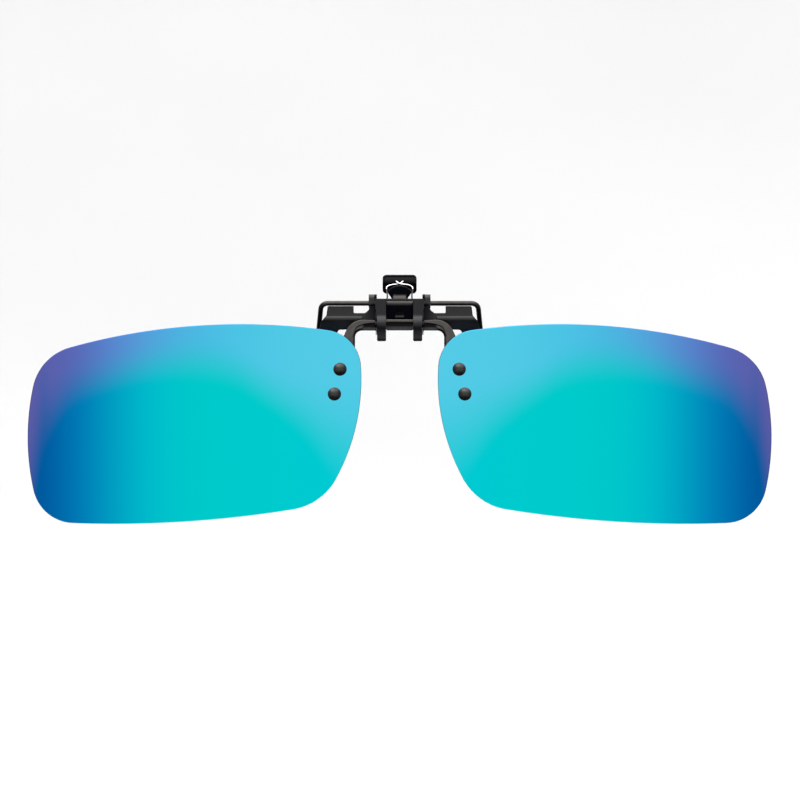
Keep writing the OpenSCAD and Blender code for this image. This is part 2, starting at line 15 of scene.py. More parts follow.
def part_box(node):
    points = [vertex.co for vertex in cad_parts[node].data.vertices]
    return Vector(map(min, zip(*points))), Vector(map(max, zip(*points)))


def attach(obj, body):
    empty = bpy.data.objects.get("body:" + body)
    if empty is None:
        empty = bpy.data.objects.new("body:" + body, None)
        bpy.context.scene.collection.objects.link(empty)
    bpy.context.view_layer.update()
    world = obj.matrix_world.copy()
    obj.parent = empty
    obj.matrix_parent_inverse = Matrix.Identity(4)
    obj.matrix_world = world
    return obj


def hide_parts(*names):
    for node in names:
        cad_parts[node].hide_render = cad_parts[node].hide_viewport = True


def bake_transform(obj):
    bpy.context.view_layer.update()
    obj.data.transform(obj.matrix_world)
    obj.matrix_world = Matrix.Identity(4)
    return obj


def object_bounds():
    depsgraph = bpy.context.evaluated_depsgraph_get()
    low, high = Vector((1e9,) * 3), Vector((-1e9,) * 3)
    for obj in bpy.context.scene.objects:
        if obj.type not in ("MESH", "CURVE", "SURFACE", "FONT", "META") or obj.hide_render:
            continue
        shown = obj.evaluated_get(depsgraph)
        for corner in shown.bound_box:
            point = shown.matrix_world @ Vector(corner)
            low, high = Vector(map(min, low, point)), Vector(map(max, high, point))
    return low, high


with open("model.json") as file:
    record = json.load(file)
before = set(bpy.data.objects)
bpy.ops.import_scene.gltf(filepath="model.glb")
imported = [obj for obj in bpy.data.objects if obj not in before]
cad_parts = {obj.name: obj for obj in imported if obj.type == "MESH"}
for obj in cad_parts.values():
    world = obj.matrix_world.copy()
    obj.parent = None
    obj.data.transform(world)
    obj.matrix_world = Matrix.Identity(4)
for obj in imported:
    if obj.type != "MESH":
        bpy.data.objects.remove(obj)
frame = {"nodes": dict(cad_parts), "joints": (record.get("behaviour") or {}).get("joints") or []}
CAD_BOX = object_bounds()

MM = 0.001
JOINTS = {j["name"]: j for j in frame["joints"]}
PIN = Vector(JOINTS["jaw_hinge"]["pos_m"])
SIDES = {"left": -1, "right": 1}

# Lens blanks, in mm: each side is an arc (centre x, centre z, radius) about the lens's middle.
# LENS_FRONT is 0.04 less than the CAD model's 4, because the record's jaw hinge lies 0.036 mm in
# front of the modelled pin, and the lenses would stand out of the CAD box by as much.
LENS_X, LENS_DROP, LENS_FRONT = 36.65, 21.6, 3.96
LENS_CURVE, LENS_T = 260.0, 1.1
LENS_SIDES = ((-8.2, -95.5, 113.4), (-13.45, -2.4, 43.3), (14.5, 183.4, 201.25), (7.5, 8, 37.35))
LENS_FILLETS = (9.3, 7.5, 10.7, 6.9)
RIVETS = {"upper": (-26.0, 9.8), "lower": (-25.0, 5.37)}
WASHER_T, ARM_T, FLANGE_T = 0.25, 0.85, 0.2
BUSHING_R, SHANK_R = 1.0, 0.6


# ---- Points and outlines ----

def to_row(point):
    """A point in mm about the jaw hinge's axis, as metres in the row frame."""
    return PIN + Vector(point) * MM


def polar(centre, radius, degrees):
    a = math.radians(degrees)
    return Vector((centre[0] + radius * math.cos(a), centre[1] + radius * math.sin(a)))


def heading(v):
    return math.degrees(math.atan2(v[1], v[0]))


def wrapped(a):
    return (a + 180) % 360 - 180


def lens_outline(inset=0.0, step=0.5):
    """The lens's outline about its middle, going round once, with points about step mm apart."""
    centres = [Vector(s[:2]) for s in LENS_SIDES]
    radii = [s[2] for s in LENS_SIDES]

    def fillet_centre(i):
        j = (i + 1) % 4
        a, b = radii[i] - LENS_FILLETS[i], radii[j] - LENS_FILLETS[i]
        gap = centres[j] - centres[i]
        d = gap.length
        e = gap / d
        x = (a * a - b * b + d * d) / (2 * d)
        return centres[i] + x * e - math.sqrt(a * a - x * x) * Vector((-e.y, e.x))

    points = []

    def add_arc(centre, radius, start, turn):
        count = max(2, round(abs(math.radians(turn)) * radius / step))
        points.extend(polar(centre, radius, start + turn * k / count) for k in range(count))

    for i in range(4):
        j = (i + 1) % 4
        f, g = fillet_centre(i), fillet_centre(j)
        start, middle = heading(f - centres[i]), heading(f - centres[j])
        add_arc(f, LENS_FILLETS[i] - inset, start, wrapped(middle - start))
        add_arc(centres[j], radii[j] - inset, middle, wrapped(heading(g - centres[j]) - middle))
    return points


def lens_depth(x, z, radius=LENS_CURVE):
    """Y of a lens's ball-shaped face at x, z from its middle, in mm about the jaw hinge's axis."""
    return -LENS_FRONT + LENS_CURVE - math.sqrt(radius * radius - x * x - z * z)


def on_lens(side, place):
    """The front point, the outward normal and two directions along the face, at a place on a lens."""
    x, z = side * place[0], place[1]
    point = Vector((side * LENS_X + x, lens_depth(x, z), -LENS_DROP + z))
    normal = Vector((x, -math.sqrt(LENS_CURVE ** 2 - x * x - z * z), z)) / LENS_CURVE
    across = Vector((0, 0, 1)).cross(normal).normalized()
    return point, normal, across, normal.cross(across)


# ---- Meshes ----

def new_piece(name, verts, faces, materials, smooth=True):
    """A mesh object from points in mm about the jaw hinge's axis."""
    mesh = bpy.data.meshes.new(name)
    mesh.from_pydata([to_row(v) for v in verts], [], faces)
    mesh.validate()
    obj = bpy.data.objects.new(name, mesh)
    bpy.context.scene.collection.objects.link(obj)
    for m in materials:
        mesh.materials.append(m)
    tidy = bmesh.new()
    tidy.from_mesh(mesh)
    bmesh.ops.recalc_face_normals(tidy, faces=tidy.faces)
    for face in tidy.faces:
        face.smooth = smooth
    tidy.to_mesh(mesh)
    tidy.free()
    return obj


def stand_for(obj, cad, body):
    """obj stands for a CAD node and moves with its body."""
    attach(obj, body)
    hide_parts(cad)


def swept(path, radius, sides=20, cap_rings=4):
    """Vertices and faces of a round wire with rounded ends, along a path of points."""
    path = [Vector(p) for p in path]
    last = len(path) - 1
    along = [(path[min(i + 1, last)] - path[max(i - 1, 0)]).normalized() for i in range(last + 1)]
    side = along[0].orthogonal().normalized()
    rings = []
    for i, t in enumerate(along):
        side = (side - side.dot(t) * t).normalized()
        rings.append((path[i], t, side, radius))
    caps = []
    for end, sign in ((0, -1), (last, 1)):
        p, t, s, _ = rings[end]
        angles = [math.pi / 2 * (k + 1) / (cap_rings + 1) for k in range(cap_rings)]
        caps.append([(p + sign * t * radius * 0.5 * math.sin(a), t, s, radius * math.cos(a))
                     for a in angles])
    rings = caps[0][::-1] + rings + caps[1]
    verts = []
    for p, t, s, r in rings:
        u = t.cross(s)
        for k in range(sides):
            a = 2 * math.pi * k / sides
            verts.append(p + r * (math.cos(a) * s + math.sin(a) * u))
    faces = []
    for i in range(len(rings) - 1):
        for k in range(sides):
            n = (k + 1) % sides
            faces.append((i * sides + k, i * sides + n, (i + 1) * sides + n, (i + 1) * sides + k))
    faces.append(tuple(range(sides)))
    faces.append(tuple(range(len(verts) - sides, len(verts))))
    return verts, faces


def lathed(profile, origin, axis, across, sides=64, closed=False):
    """Vertices and faces of a profile of (radius, height) points turned about an axis."""
    up = axis.cross(across)
    verts, rings = [], []
    for r, h in profile:
        count = 1 if r == 0 else sides
        rings.append((len(verts), count))
        for k in range(count):
            a = 2 * math.pi * k / sides
            verts.append(origin + h * axis + r * (math.cos(a) * across + math.sin(a) * up))
    faces = []
    pairs = list(zip(rings, rings[1:] + rings[:1] if closed else rings[1:]))
    for (a, na), (b, nb) in pairs:
        for k in range(sides):
            n = (k + 1) % sides
            if na == 1:
                faces.append((a, b + n, b + k))
            elif nb == 1:
                faces.append((a + k, a + n, b))
            else:
                faces.append((a + k, a + n, b + n, b + k))
    return verts, faces


def rounded_profile(points, radius, steps=3):
    """A (radius, height) profile with its inner corners rounded."""
    points = [Vector(p) for p in points]
    out = [points[0]]
    for a, b, c in zip(points, points[1:], points[2:]):
        u, v = (a - b), (c - b)
        cut = min(radius, u.length * 0.45, v.length * 0.45)
        p, q = b + u.normalized() * cut, b + v.normalized() * cut
        for k in range(steps + 1):
            t = k / steps
            out.append((1 - t) ** 2 * p + 2 * t * (1 - t) * b + t * t * q)
    out.append(points[-1])
    return [tuple(p) for p in out]


def bent_metal(cad, name, voxel, relax, keep, mat):
    """A copy of a CAD node with its sharp edges worn round, as tumbled and coated metal has them."""
    source = frame["nodes"][cad].data
    verts = [(Vector(v.co) - PIN) / MM for v in source.vertices]
    faces = [tuple(p.vertices) for p in source.polygons]
    mesh = bpy.data.meshes.new(name)
    mesh.from_pydata(verts, [], faces)
    obj = bpy.data.objects.new(name, mesh)
    bpy.context.scene.collection.objects.link(obj)
    weld = obj.modifiers.new("weld", "WELD")
    weld.merge_threshold = 0.0005
    remesh = obj.modifiers.new("remesh", "REMESH")
    remesh.mode = "VOXEL"
    remesh.voxel_size = voxel
    remesh.use_smooth_shade = True
    soften = obj.modifiers.new("soften", "SMOOTH")
    soften.factor = 0.5
    soften.iterations = relax
    trim = obj.modifiers.new("trim", "DISPLACE")
    trim.strength, trim.mid_level = -0.012, 0
    thin = obj.modifiers.new("thin", "DECIMATE")
    thin.ratio = keep
    made = bpy.data.meshes.new_from_object(obj.evaluated_get(bpy.context.evaluated_depsgraph_get()))
    obj.modifiers.clear()
    made.name = name
    obj.data = made
    made.materials.clear()
    made.materials.append(mat)
    for v in made.vertices:
        v.co = to_row(v.co)
    for p in made.polygons:
        p.use_smooth = True
    made.update()
    return obj


# ---- Materials ----

def material(name, **sockets):
    """A Principled material, its node tree and its shader."""
    mat = bpy.data.materials.new(name)
    mat.use_nodes = True
    tree = mat.node_tree
    shader = tree.nodes["Principled BSDF"]
    for key, value in sockets.items():
        shader.inputs[key.replace("_", " ").title().replace("Ior", "IOR")].default_value = value
    return mat, tree, shader


def node(tree, kind, inputs=None, **settings):
    """A node with its settings and inputs; an input that is a socket is linked."""
    made = tree.nodes.new("ShaderNode" + kind)
    for key, value in settings.items():
        setattr(made, key, value)
    for key, value in (inputs or {}).items():
        socket = next((i for i in made.inputs if i.name == key and i.enabled), None)
        socket = made.inputs[key] if socket is None else socket
        if isinstance(value, bpy.types.NodeSocket):
            tree.links.new(value, socket)
        else:
            socket.default_value = value
    return made


def enabled_output(made):
    return next(o for o in made.outputs if o.enabled)


def math_node(tree, operation, *values):
    return node(tree, "Math", dict(enumerate(values)), operation=operation).outputs[0]


def in_mm(tree):
    """A point of the piece, in mm in the row frame."""
    place = node(tree, "TexCoord").outputs["Object"]
    return node(tree, "VectorMath", {0: place, "Scale": 1 / MM}, operation="SCALE").outputs[0]


def ramp(tree, factor, stops, interpolation="LINEAR"):
    made = node(tree, "ValToRGB", {"Fac": factor})
    made.color_ramp.interpolation = interpolation
    elements = made.color_ramp.elements
    while len(elements) < len(stops):
        elements.new(0.5)
    for element, (position, colour) in zip(elements, stops):
        element.position = position
        element.color = (*colour, 1)
    return made.outputs["Color"]


def linear(r, g, b):
    """An sRGB colour, 0 to 255, as scene-linear numbers."""
    def one(c):
        c /= 255
        return c / 12.92 if c <= 0.04045 else ((c + 0.055) / 1.055) ** 2.4
    return one(r), one(g), one(b)


def noise(tree, place, scale, detail=2.0, roughness=0.5):
    made = node(tree, "TexNoise", {"Vector": place, "Scale": scale, "Detail": detail,
                                   "Roughness": roughness})
    return made.outputs["Fac"]


def coated_metal(name, dark, light, metallic, roughness, grain, bump, specular=0.5):
    """Satin metal: a slow drift between two shades, an uneven sheen and a fine orange-peel grain."""
    mat, tree, shader = material(name, metallic=metallic)
    shader.inputs["Specular IOR Level"].default_value = specular
    place = in_mm(tree)
    drift = noise(tree, place, 0.9, 3)
    colour = ramp(tree, drift, [(0.35, dark), (0.7, light)])
    tree.links.new(colour, shader.inputs["Base Color"])
    fine = noise(tree, place, grain, 2)
    sheen = math_node(tree, "MULTIPLY_ADD", fine, 0.12, roughness - 0.06)
    tree.links.new(sheen, shader.inputs["Roughness"])
    rough = node(tree, "Bump", {"Strength": bump, "Distance": 0.00002, "Height": fine})
    tree.links.new(rough.outputs[0], shader.inputs["Normal"])
    return mat


def about_pin(tree):
    """Distance from the middle, depth and height in mm about the jaw hinge's axis."""
    place = node(tree, "VectorMath", {0: in_mm(tree), 1: tuple(PIN / MM)}, operation="SUBTRACT")
    split = node(tree, "SeparateXYZ", {"Vector": place.outputs[0]})
    return math_node(tree, "ABSOLUTE", split.outputs["X"]), split.outputs["Y"], split.outputs["Z"]


def rise(tree, value, start, end, low=0.0, high=1.0):
    """A smooth step from low, at start, to high, at end."""
    return node(tree, "MapRange", {"Value": value, 1: start, 2: end, 3: low, 4: high},
                interpolation_type="SMOOTHSTEP").outputs[0]


def product(tree, *shares):
    total = shares[0]
    for share in shares[1:]:
        total = math_node(tree, "MULTIPLY", total, share)
    return total


def turn_towards(mat, name, share, value):
    """Turns a shader input towards a value, by a share that varies over the piece."""
    tree = mat.node_tree
    socket = tree.nodes["Principled BSDF"].inputs[name]
    before = socket.links[0].from_socket if socket.is_linked else socket.default_value
    kind = "RGBA" if socket.type == "RGBA" else "FLOAT"
    if kind == "RGBA" and isinstance(value, tuple):
        value = (*value, 1)
    mixed = node(tree, "Mix", {"Factor": share, "A": before, "B": value}, data_type=kind)
    tree.links.new(enabled_output(mixed), socket)


def plate_coat():
    """Satin black: painted shade makes it dull and near-black in the middle, a painted navy tone
    stands in for the dim light under the ridge, and a painted highlight sits at the neck.
    """
    mat = coated_metal("black_coat", (0.004, 0.004, 0.0042), (0.007, 0.007, 0.0072), 0.0, 0.34,
                       9, 0.2, 0.42)
    tree = mat.node_tree
    x, _, z = about_pin(tree)
    # Painted light: the navy tone under the ridge stands in for the dim bluish light on the downward
    # slope.
    under = rise(tree, z, -2.9, -4.3)
    turn_towards(mat, "Base Color", under, (0.011, 0.015, 0.024))
    # Painted shade: the recessed middle is made dull and near-black, where shade falls between the
    # straps.
    middle = math_node(tree, "MAXIMUM", rise(tree, x, 7.2, 4.2, 0, 0.75), rise(tree, x, 4, 2.6))
    turn_towards(mat, "Specular IOR Level", middle, 0.01)
    turn_towards(mat, "Base Color", middle, (0.0022, 0.0028, 0.005))
    # Painted highlight: a brownish metallic patch at the neck stands in for the light its bend
    # catches; the noise gives it a ragged top.
    grain = math_node(tree, "MULTIPLY_ADD", noise(tree, in_mm(tree), 5, 3), 0.8, z)
    neck_highlight = product(tree, rise(tree, x, 1.25, 1.0), rise(tree, z, 0.6, 0.8),
                   rise(tree, grain, 2.05, 1.65))
    turn_towards(mat, "Base Color", neck_highlight, (0.185, 0.17, 0.158))
    turn_towards(mat, "Metallic", neck_highlight, 1.0)
    return mat


def bracket_coat():
    """Satin black with a trace of blue, with a painted highlight where the straps bulge over the bar
    and painted shade on their lower legs.
    """
    mat = coated_metal("black_coat_bracket", (0.004, 0.004, 0.0055), (0.0065, 0.0065, 0.0085),
                       0.0, 0.38, 9, 0.2, 0.31)
    tree = mat.node_tree
    _, _, z = about_pin(tree)
    # Painted highlight: more sheen where the straps bulge over the bar.
    bulge = product(tree, rise(tree, z, -1.7, -2.6), rise(tree, z, -3.2, -2.8))
    turn_towards(mat, "Specular IOR Level", bulge, 0.52)
    # Painted shade: less sheen on the lower legs below the bulge.
    lower = product(tree, rise(tree, z, -4.7, -4.9), rise(tree, z, -6.5, -5.0))
    turn_towards(mat, "Specular IOR Level", lower, 0.12)
    return mat


def lever_coat():
    """Satin black, with painted shade over the thumb tab that lightens towards its top."""
    mat = coated_metal("black_coat_lever", (0.004, 0.004, 0.0042), (0.007, 0.007, 0.0072), 0.0,
                       0.36, 9, 0.2, 0.42)
    tree = mat.node_tree
    _, _, z = about_pin(tree)
    # Painted shade: the tab is made darker and duller, less so towards its top.
    tab = rise(tree, z, 1.6, 1.8)
    turn_towards(mat, "Specular IOR Level", tab, rise(tree, z, 3.5, 4.5, 0.0, 0.09))
    turn_towards(mat, "Base Color", tab, (0.0016, 0.0016, 0.002))
    return mat


def leaf_coat():
    """Black spring leaf, with painted shade that makes it dull except along its lower lip."""
    mat = coated_metal("black_coat_leaf", (0.003, 0.003, 0.0032), (0.005, 0.005, 0.0052), 0.0,
                       0.4, 9, 0.2, 0.25)
    tree = mat.node_tree
    _, _, z = about_pin(tree)
    # Painted shade: no sheen above the lower lip, where the leaf lies in the plate's recess.
    turn_towards(mat, "Specular IOR Level", rise(tree, z, -2.25, -2.05), 0.01)
    return mat


def hinge_wire_coat():
    """Satin dark wire, with a painted highlight between the straps that makes it lighter and duller
    there.
    """
    mat = coated_metal("wire_coat", (0.046, 0.044, 0.041), (0.064, 0.061, 0.057), 1.0, 0.34,
                       8, 0.15)
    tree = mat.node_tree
    x, _, _ = about_pin(tree)
    # Painted highlight: a lighter, rougher band between the straps stands in for the broad frontal
    # highlight.
    middle_highlight = rise(tree, x, 2.6, 2.1)
    turn_towards(mat, "Base Color", middle_highlight, (0.15, 0.145, 0.137))
    turn_towards(mat, "Roughness", middle_highlight, 0.7)
    return mat


def bridge_coat():
    """Satin gunmetal, with painted shade in the groove along the bar and beside the straps, and a lip
    under it painted a dull grey that stands in for its even light.
    """
    mat = coated_metal("gunmetal_coat", (0.078, 0.073, 0.07), (0.102, 0.096, 0.092), 1.0,
                       0.38, 8, 0.25)
    tree = mat.node_tree
    x, y, z = about_pin(tree)
    bar = product(tree, rise(tree, x, 6.9, 6.3), rise(tree, y, 0.6, 0.4))
    # Painted shade: the groove along the bar is made near-black.
    groove = product(tree, bar, rise(tree, z, -3.5, -3.6), rise(tree, y, -0.66, -0.52))
    turn_towards(mat, "Base Color", groove, (0.009, 0.0085, 0.0095))
    # Painted shade beside and below the straps, where the bar runs behind them.
    beside = product(tree, rise(tree, x, 4.55, 4.4), rise(tree, x, 2.8, 3.0))
    below = product(tree, rise(tree, x, 4.55, 4.4), rise(tree, x, 2.2, 2.35),
                    rise(tree, z, -3.55, -3.65))
    strap_shade = math_node(tree, "MAXIMUM", beside, below)
    turn_towards(mat, "Base Color", strap_shade, (0.016, 0.015, 0.015))
    # Painted light: the lip is turned to a dull mid-grey that stands in for its even front lighting.
    lip = product(tree, bar, rise(tree, z, -4.2, -4.4))
    turn_towards(mat, "Base Color", lip, (0.045, 0.044, 0.049))
    turn_towards(mat, "Metallic", lip, 0.0)
    turn_towards(mat, "Specular IOR Level", lip, 0.1)
    return mat


def spring_steel():
    """Spring wire painted dark along its middle, painted shade for the dim surroundings it reflects,
    and bright at both its ends, where painted highlights fall.
    """
    mat, tree, shader = material("spring_steel", metallic=1.0)
    place = in_mm(tree)
    streaks = noise(tree, place, 14, 3, 0.7)
    bright = ramp(tree, streaks, [(0.3, (0.8, 0.78, 0.74)), (0.7, (0.95, 0.94, 0.92))])
    # Painted shade: the dark colour stands in for the dim surroundings the wire reflects.
    dark = ramp(tree, streaks, [(0.3, (0.03, 0.03, 0.03)), (0.7, (0.06, 0.057, 0.055))])
    _, _, height = about_pin(tree)
    tree.links.new(dark, shader.inputs["Base Color"])
    # Painted highlights: bright steel at the lower leg's end and along the tip above the pin.
    turn_towards(mat, "Base Color", rise(tree, height, -4.75, -4.95), (0.9, 0.88, 0.8))
    turn_towards(mat, "Base Color", rise(tree, height, 2.5, 2.8), bright)
    tree.links.new(math_node(tree, "MULTIPLY_ADD", streaks, 0.15, 0.22), shader.inputs["Roughness"])
    return mat


def soft_rubber():
    """Matt moulded rubber."""
    mat, tree, shader = material("soft_rubber")
    place = in_mm(tree)
    cloud = noise(tree, place, 1.4, 3)
    colour = ramp(tree, cloud, [(0.3, (0.016, 0.016, 0.018)), (0.75, (0.03, 0.03, 0.032))])
    tree.links.new(colour, shader.inputs["Base Color"])
    pores = noise(tree, place, 16, 3, 0.65)
    tree.links.new(math_node(tree, "MULTIPLY_ADD", pores, 0.2, 0.55), shader.inputs["Roughness"])
    skin = node(tree, "Bump", {"Strength": 0.35, "Distance": 0.00002, "Height": pores})
    tree.links.new(skin.outputs[0], shader.inputs["Normal"])
    return mat


def natural_nylon():
    """Milky turned nylon."""
    mat, tree, shader = material("nylon")
    place = in_mm(tree)
    cloud = noise(tree, place, 3, 2)
    colour = ramp(tree, cloud, [(0.3, (0.66, 0.65, 0.6)), (0.7, (0.8, 0.79, 0.75))])
    tree.links.new(colour, shader.inputs["Base Color"])
    tree.links.new(math_node(tree, "MULTIPLY_ADD", cloud, 0.15, 0.35), shader.inputs["Roughness"])
    return mat


def float_curve(tree, value, low, high, points):
    """A smooth curve through (x, y) points, with both axes scaled from 0 to 1."""
    made = node(tree, "FloatCurve", {"Factor": 1.0, "Value": value})
    curve = made.mapping.curves[0]
    while len(curve.points) < len(points):
        curve.points.new(0.5, 0.5)
    for target, (x, y) in zip(curve.points, points):
        target.location = (x, (y - low) / (high - low))
    made.mapping.update()
    share = made.outputs["Value"]
    return math_node(tree, "MULTIPLY_ADD", share, high - low, low)


LENS_HALF = 29.0
# Mirror colours across a lens, from its nasal side to its outer side: x in mm from its middle. They
# are partly the coating's own colour and partly painted reflection of the studio.
DEEP = ((-24, (0, 202, 211)), (-16, (0, 203, 205)), (-3, (0, 203, 202)), (4, (0, 197, 203)),
        (9, (0, 185, 203)), (14, (0, 161, 195)), (19, (0, 130, 186)), (24, (0, 103, 170)),
        (28, (0, 86, 155)))
VEIL = ((-26, (84, 203, 231)), (-16, (80, 202, 229)), (-6, (74, 195, 229)), (2, (76, 180, 225)),
        (8, (84, 161, 219)), (12, (87, 146, 213)), (17, (87, 123, 198)), (22, (89, 101, 180)),
        (28, (91, 92, 166)))
# Height at which the pale veil begins, along the same line
VEIL_EDGE = ((-28, -15), (-24, -10.5), (-20, -4.5), (-16, -0.5), (-12, 2.5), (-7, 5.5), (0, 6.8),
             (9, 6.3), (16, 4.5), (21, 2.5), (24.5, -1.5), (28, -13.5))
# Height over which it grows to its full strength, along the same line
VEIL_FADE = ((-28, 25), (-24, 20), (-19, 13), (-14, 10), (0, 10), (21, 10), (24.5, 12), (27, 21),
             (28.5, 26))


def mirror_front():
    """Blue-green mirror coating: deeper at the outer side, with a pale violet veil over the top,
    partly the coating's own colour and partly painted reflection of the studio; the upward-facing rim
    carries painted shade.
    """
    mat, tree, shader = material("mirror_coating", metallic=1.0)
    place = in_mm(tree)
    split = node(tree, "SeparateXYZ", {"Vector": place})
    x = math_node(tree, "SUBTRACT", math_node(tree, "ABSOLUTE", split.outputs["X"]), LENS_X)
    z = math_node(tree, "SUBTRACT", split.outputs["Z"], PIN.z / MM - LENS_DROP)
    share = math_node(tree, "MULTIPLY_ADD", x, 0.5 / LENS_HALF, 0.5)

    def along(stops):
        return [((at + LENS_HALF) / (2 * LENS_HALF), value) for at, value in stops]

    deep = ramp(tree, share, [(s, linear(*c)) for s, c in along(DEEP)], "B_SPLINE")
    veil = ramp(tree, share, [(s, linear(*c)) for s, c in along(VEIL)], "B_SPLINE")
    edge = float_curve(tree, share, -20.0, 10.0, along(VEIL_EDGE))
    fade = float_curve(tree, share, 0.0, 30.0, along(VEIL_FADE))
    above = math_node(tree, "DIVIDE", math_node(tree, "SUBTRACT", z, edge), fade)
    cover = rise(tree, above, 0, 1)
    tree.links.new(deep, shader.inputs["Base Color"])
    turn_towards(mat, "Base Color", cover, veil)
    facing = node(tree, "NewGeometry").outputs["Normal"]
    lean = node(tree, "SeparateXYZ", {"Vector": facing}).outputs["Z"]
    # Painted shade: the rim that faces upward is darkened, in place of the highlight it would catch.
    face = shader.inputs["Base Color"].links[0].from_socket
    rim = node(tree, "VectorMath", {0: face, 1: (0.3, 0.3, 0.38)}, operation="MULTIPLY").outputs[0]
    turn_towards(mat, "Base Color", rise(tree, lean, 0.12, 0.5), rim)
    tree.links.new(rise(tree, lean, -0.35, -0.12), shader.inputs["Metallic"])
    haze = noise(tree, place, 0.12, 2)
    sheen = math_node(tree, "MULTIPLY_ADD", haze, 0.05, 0.05)
    tree.links.new(sheen, shader.inputs["Roughness"])
    return mat


def smoked_back():
    """Dark polarised back of a lens."""
    mat, tree, shader = material("smoked_back")
    place = in_mm(tree)
    drift = noise(tree, place, 0.05, 2)
    colour = ramp(tree, drift, [(0.3, (0.012, 0.014, 0.013)), (0.7, (0.02, 0.022, 0.019))])
    tree.links.new(colour, shader.inputs["Base Color"])
    tree.links.new(math_node(tree, "MULTIPLY_ADD", drift, 0.04, 0.05), shader.inputs["Roughness"])
    return mat


def ground_edge():
    """Polished, dark edge of a cut lens."""
    mat, tree, shader = material("ground_edge")
    place = in_mm(tree)
    marks = noise(tree, place, 6, 3)
    colour = ramp(tree, marks, [(0.3, (0.01, 0.03, 0.035)), (0.7, (0.02, 0.05, 0.055))])
    tree.links.new(colour, shader.inputs["Base Color"])
    tree.links.new(math_node(tree, "MULTIPLY_ADD", marks, 0.2, 0.12), shader.inputs["Roughness"])
    return mat


# ---- Lenses ----

def distance_to(outline, p):
    return min((q - p).length for q in outline)


def build_lens(name, side, materials):
    """A ball-curved lens with rounded rims and two holes: front, back and edge materials."""
    rim_r, rim_steps, margin = 0.14, 4, 0.03
    # The inner points' spacing, how far out they are tried, and how clear of the edges they stay
    grid, row_share, tried, within = 1.1, 0.866, 32, 34
    off_hole, off_side, off_border = 0.5, 0.9, 0.6
    rims = []
    for k in range(rim_steps + 1):
        a = math.pi / 2 * k / rim_steps
        rims.append((margin + rim_r * (1 - math.sin(a)), rim_r * (1 - math.cos(a))))
    outlines = {k: lens_outline(inset) for k, (inset, _) in enumerate(rims)}
    count = len(outlines[0])
    border = outlines[0]
    hole_sides = 40
    holes = []
    for place in RIVETS.values():
        holes.append([Vector(place) + polar((0, 0), BUSHING_R + 0.02, 360 * k / hole_sides)
                      for k in range(hole_sides)])
    points = list(border)
    edges = [(i, (i + 1) % count) for i in range(count)]
    for ring in holes:
        start = len(points)
        points.extend(ring)
        edges.extend((start + i, start + (i + 1) % hole_sides) for i in range(hole_sides))
    fixed = len(points)

    def inside(p):
        if any((p - Vector(place)).length < BUSHING_R + off_hole for place in RIVETS.values()):
            return False
        for s in LENS_SIDES:
            if (p - Vector(s[:2])).length > s[2] - off_side:
                return False
        return distance_to(border, p) > off_border

    reach = int(tried / grid) + 1
    for i in range(-reach, reach):
        for j in range(-reach, reach):
            p = Vector(((i + 0.5 * (j % 2)) * grid, j * grid * row_share))
            if p.length < within and inside(p):
                points.append(p)
    found = delaunay_2d_cdt(points, edges, [], 0, 1e-6)
    flat, triangles, origins = found[0], found[2], found[3]
    member = [min(o) if o else fixed for o in origins]

    def in_hole(tri):
        owners = [member[i] for i in tri]
        return all(count <= o < fixed for o in owners) and len(
            {(o - count) // hole_sides for o in owners}) == 1

    triangles = [t for t in triangles if not in_hole(t)]
    verts, faces, marks = [], [], []

    def add(x, z, depth):
        """A point at depth behind the front face."""
        if depth <= LENS_T / 2:
            y = lens_depth(x, z) + depth
        else:
            y = lens_depth(x, z, LENS_CURVE - LENS_T) - (LENS_T - depth)
        verts.append((side * (LENS_X + x), y, -LENS_DROP + z))
        return len(verts) - 1

    layers = []
    for depth in (0, LENS_T):
        layers.append([add(p.x, p.y, depth) for p in flat])
    at = {}
    for index, owner in enumerate(member):
        if owner < fixed:
            at[owner] = index
    for face, layer in zip((0, 1), layers):
        for tri in triangles:
            faces.append(tuple(layer[i] for i in tri))
            marks.append(face)
    outward = [(border[(i + 1) % count] - border[i - 1]).normalized() for i in range(count)]
    outward = [Vector((t.y, -t.x)) for t in outward]
    if outward[0].dot(border[0]) < 0:
        outward = [-v for v in outward]
    turn = {}

    def add_loop(k, depth, angle):
        loop = [add(p.x, p.y, depth) for p in outlines[k]]
        turn.update({index: (angle, way) for index, way in zip(loop, outward)})
        return loop

    loops = [[layers[0][at[i]] for i in range(count)]]
    for k in range(1, rim_steps + 1):
        loops.append(add_loop(k, rims[k][1], math.pi / 2 * k / rim_steps))
    for k in range(rim_steps, 0, -1):
        angle = math.pi / 2 * (2 - k / rim_steps)
        loops.append(add_loop(k, LENS_T - rims[k][1], angle))
    loops.append([layers[1][at[i]] for i in range(count)])
    turn.update({index: (0, outward[0]) for index in loops[0]})
    turn.update({index: (math.pi, outward[0]) for index in loops[-1]})
    for k, (upper, lower) in enumerate(zip(loops, loops[1:])):
        for i in range(count):
            n = (i + 1) % count
            faces.append((upper[i], upper[n], lower[n], lower[i]))
            marks.append(3 if k < rim_steps - 1 else 2)
    for h in range(len(holes)):
        start = count + h * hole_sides
        for i in range(hole_sides):
            a, b = start + i, start + (i + 1) % hole_sides
            faces.append((layers[0][at[a]], layers[0][at[b]], layers[1][at[b]], layers[1][at[a]]))
            marks.append(2)
    obj = new_piece(name, verts, faces, materials)
    mesh = obj.data
    for polygon, mark in zip(mesh.polygons, marks):
        polygon.material_index = mark % 3
    set_lens_normals(mesh, marks, verts, side, turn)
    return obj


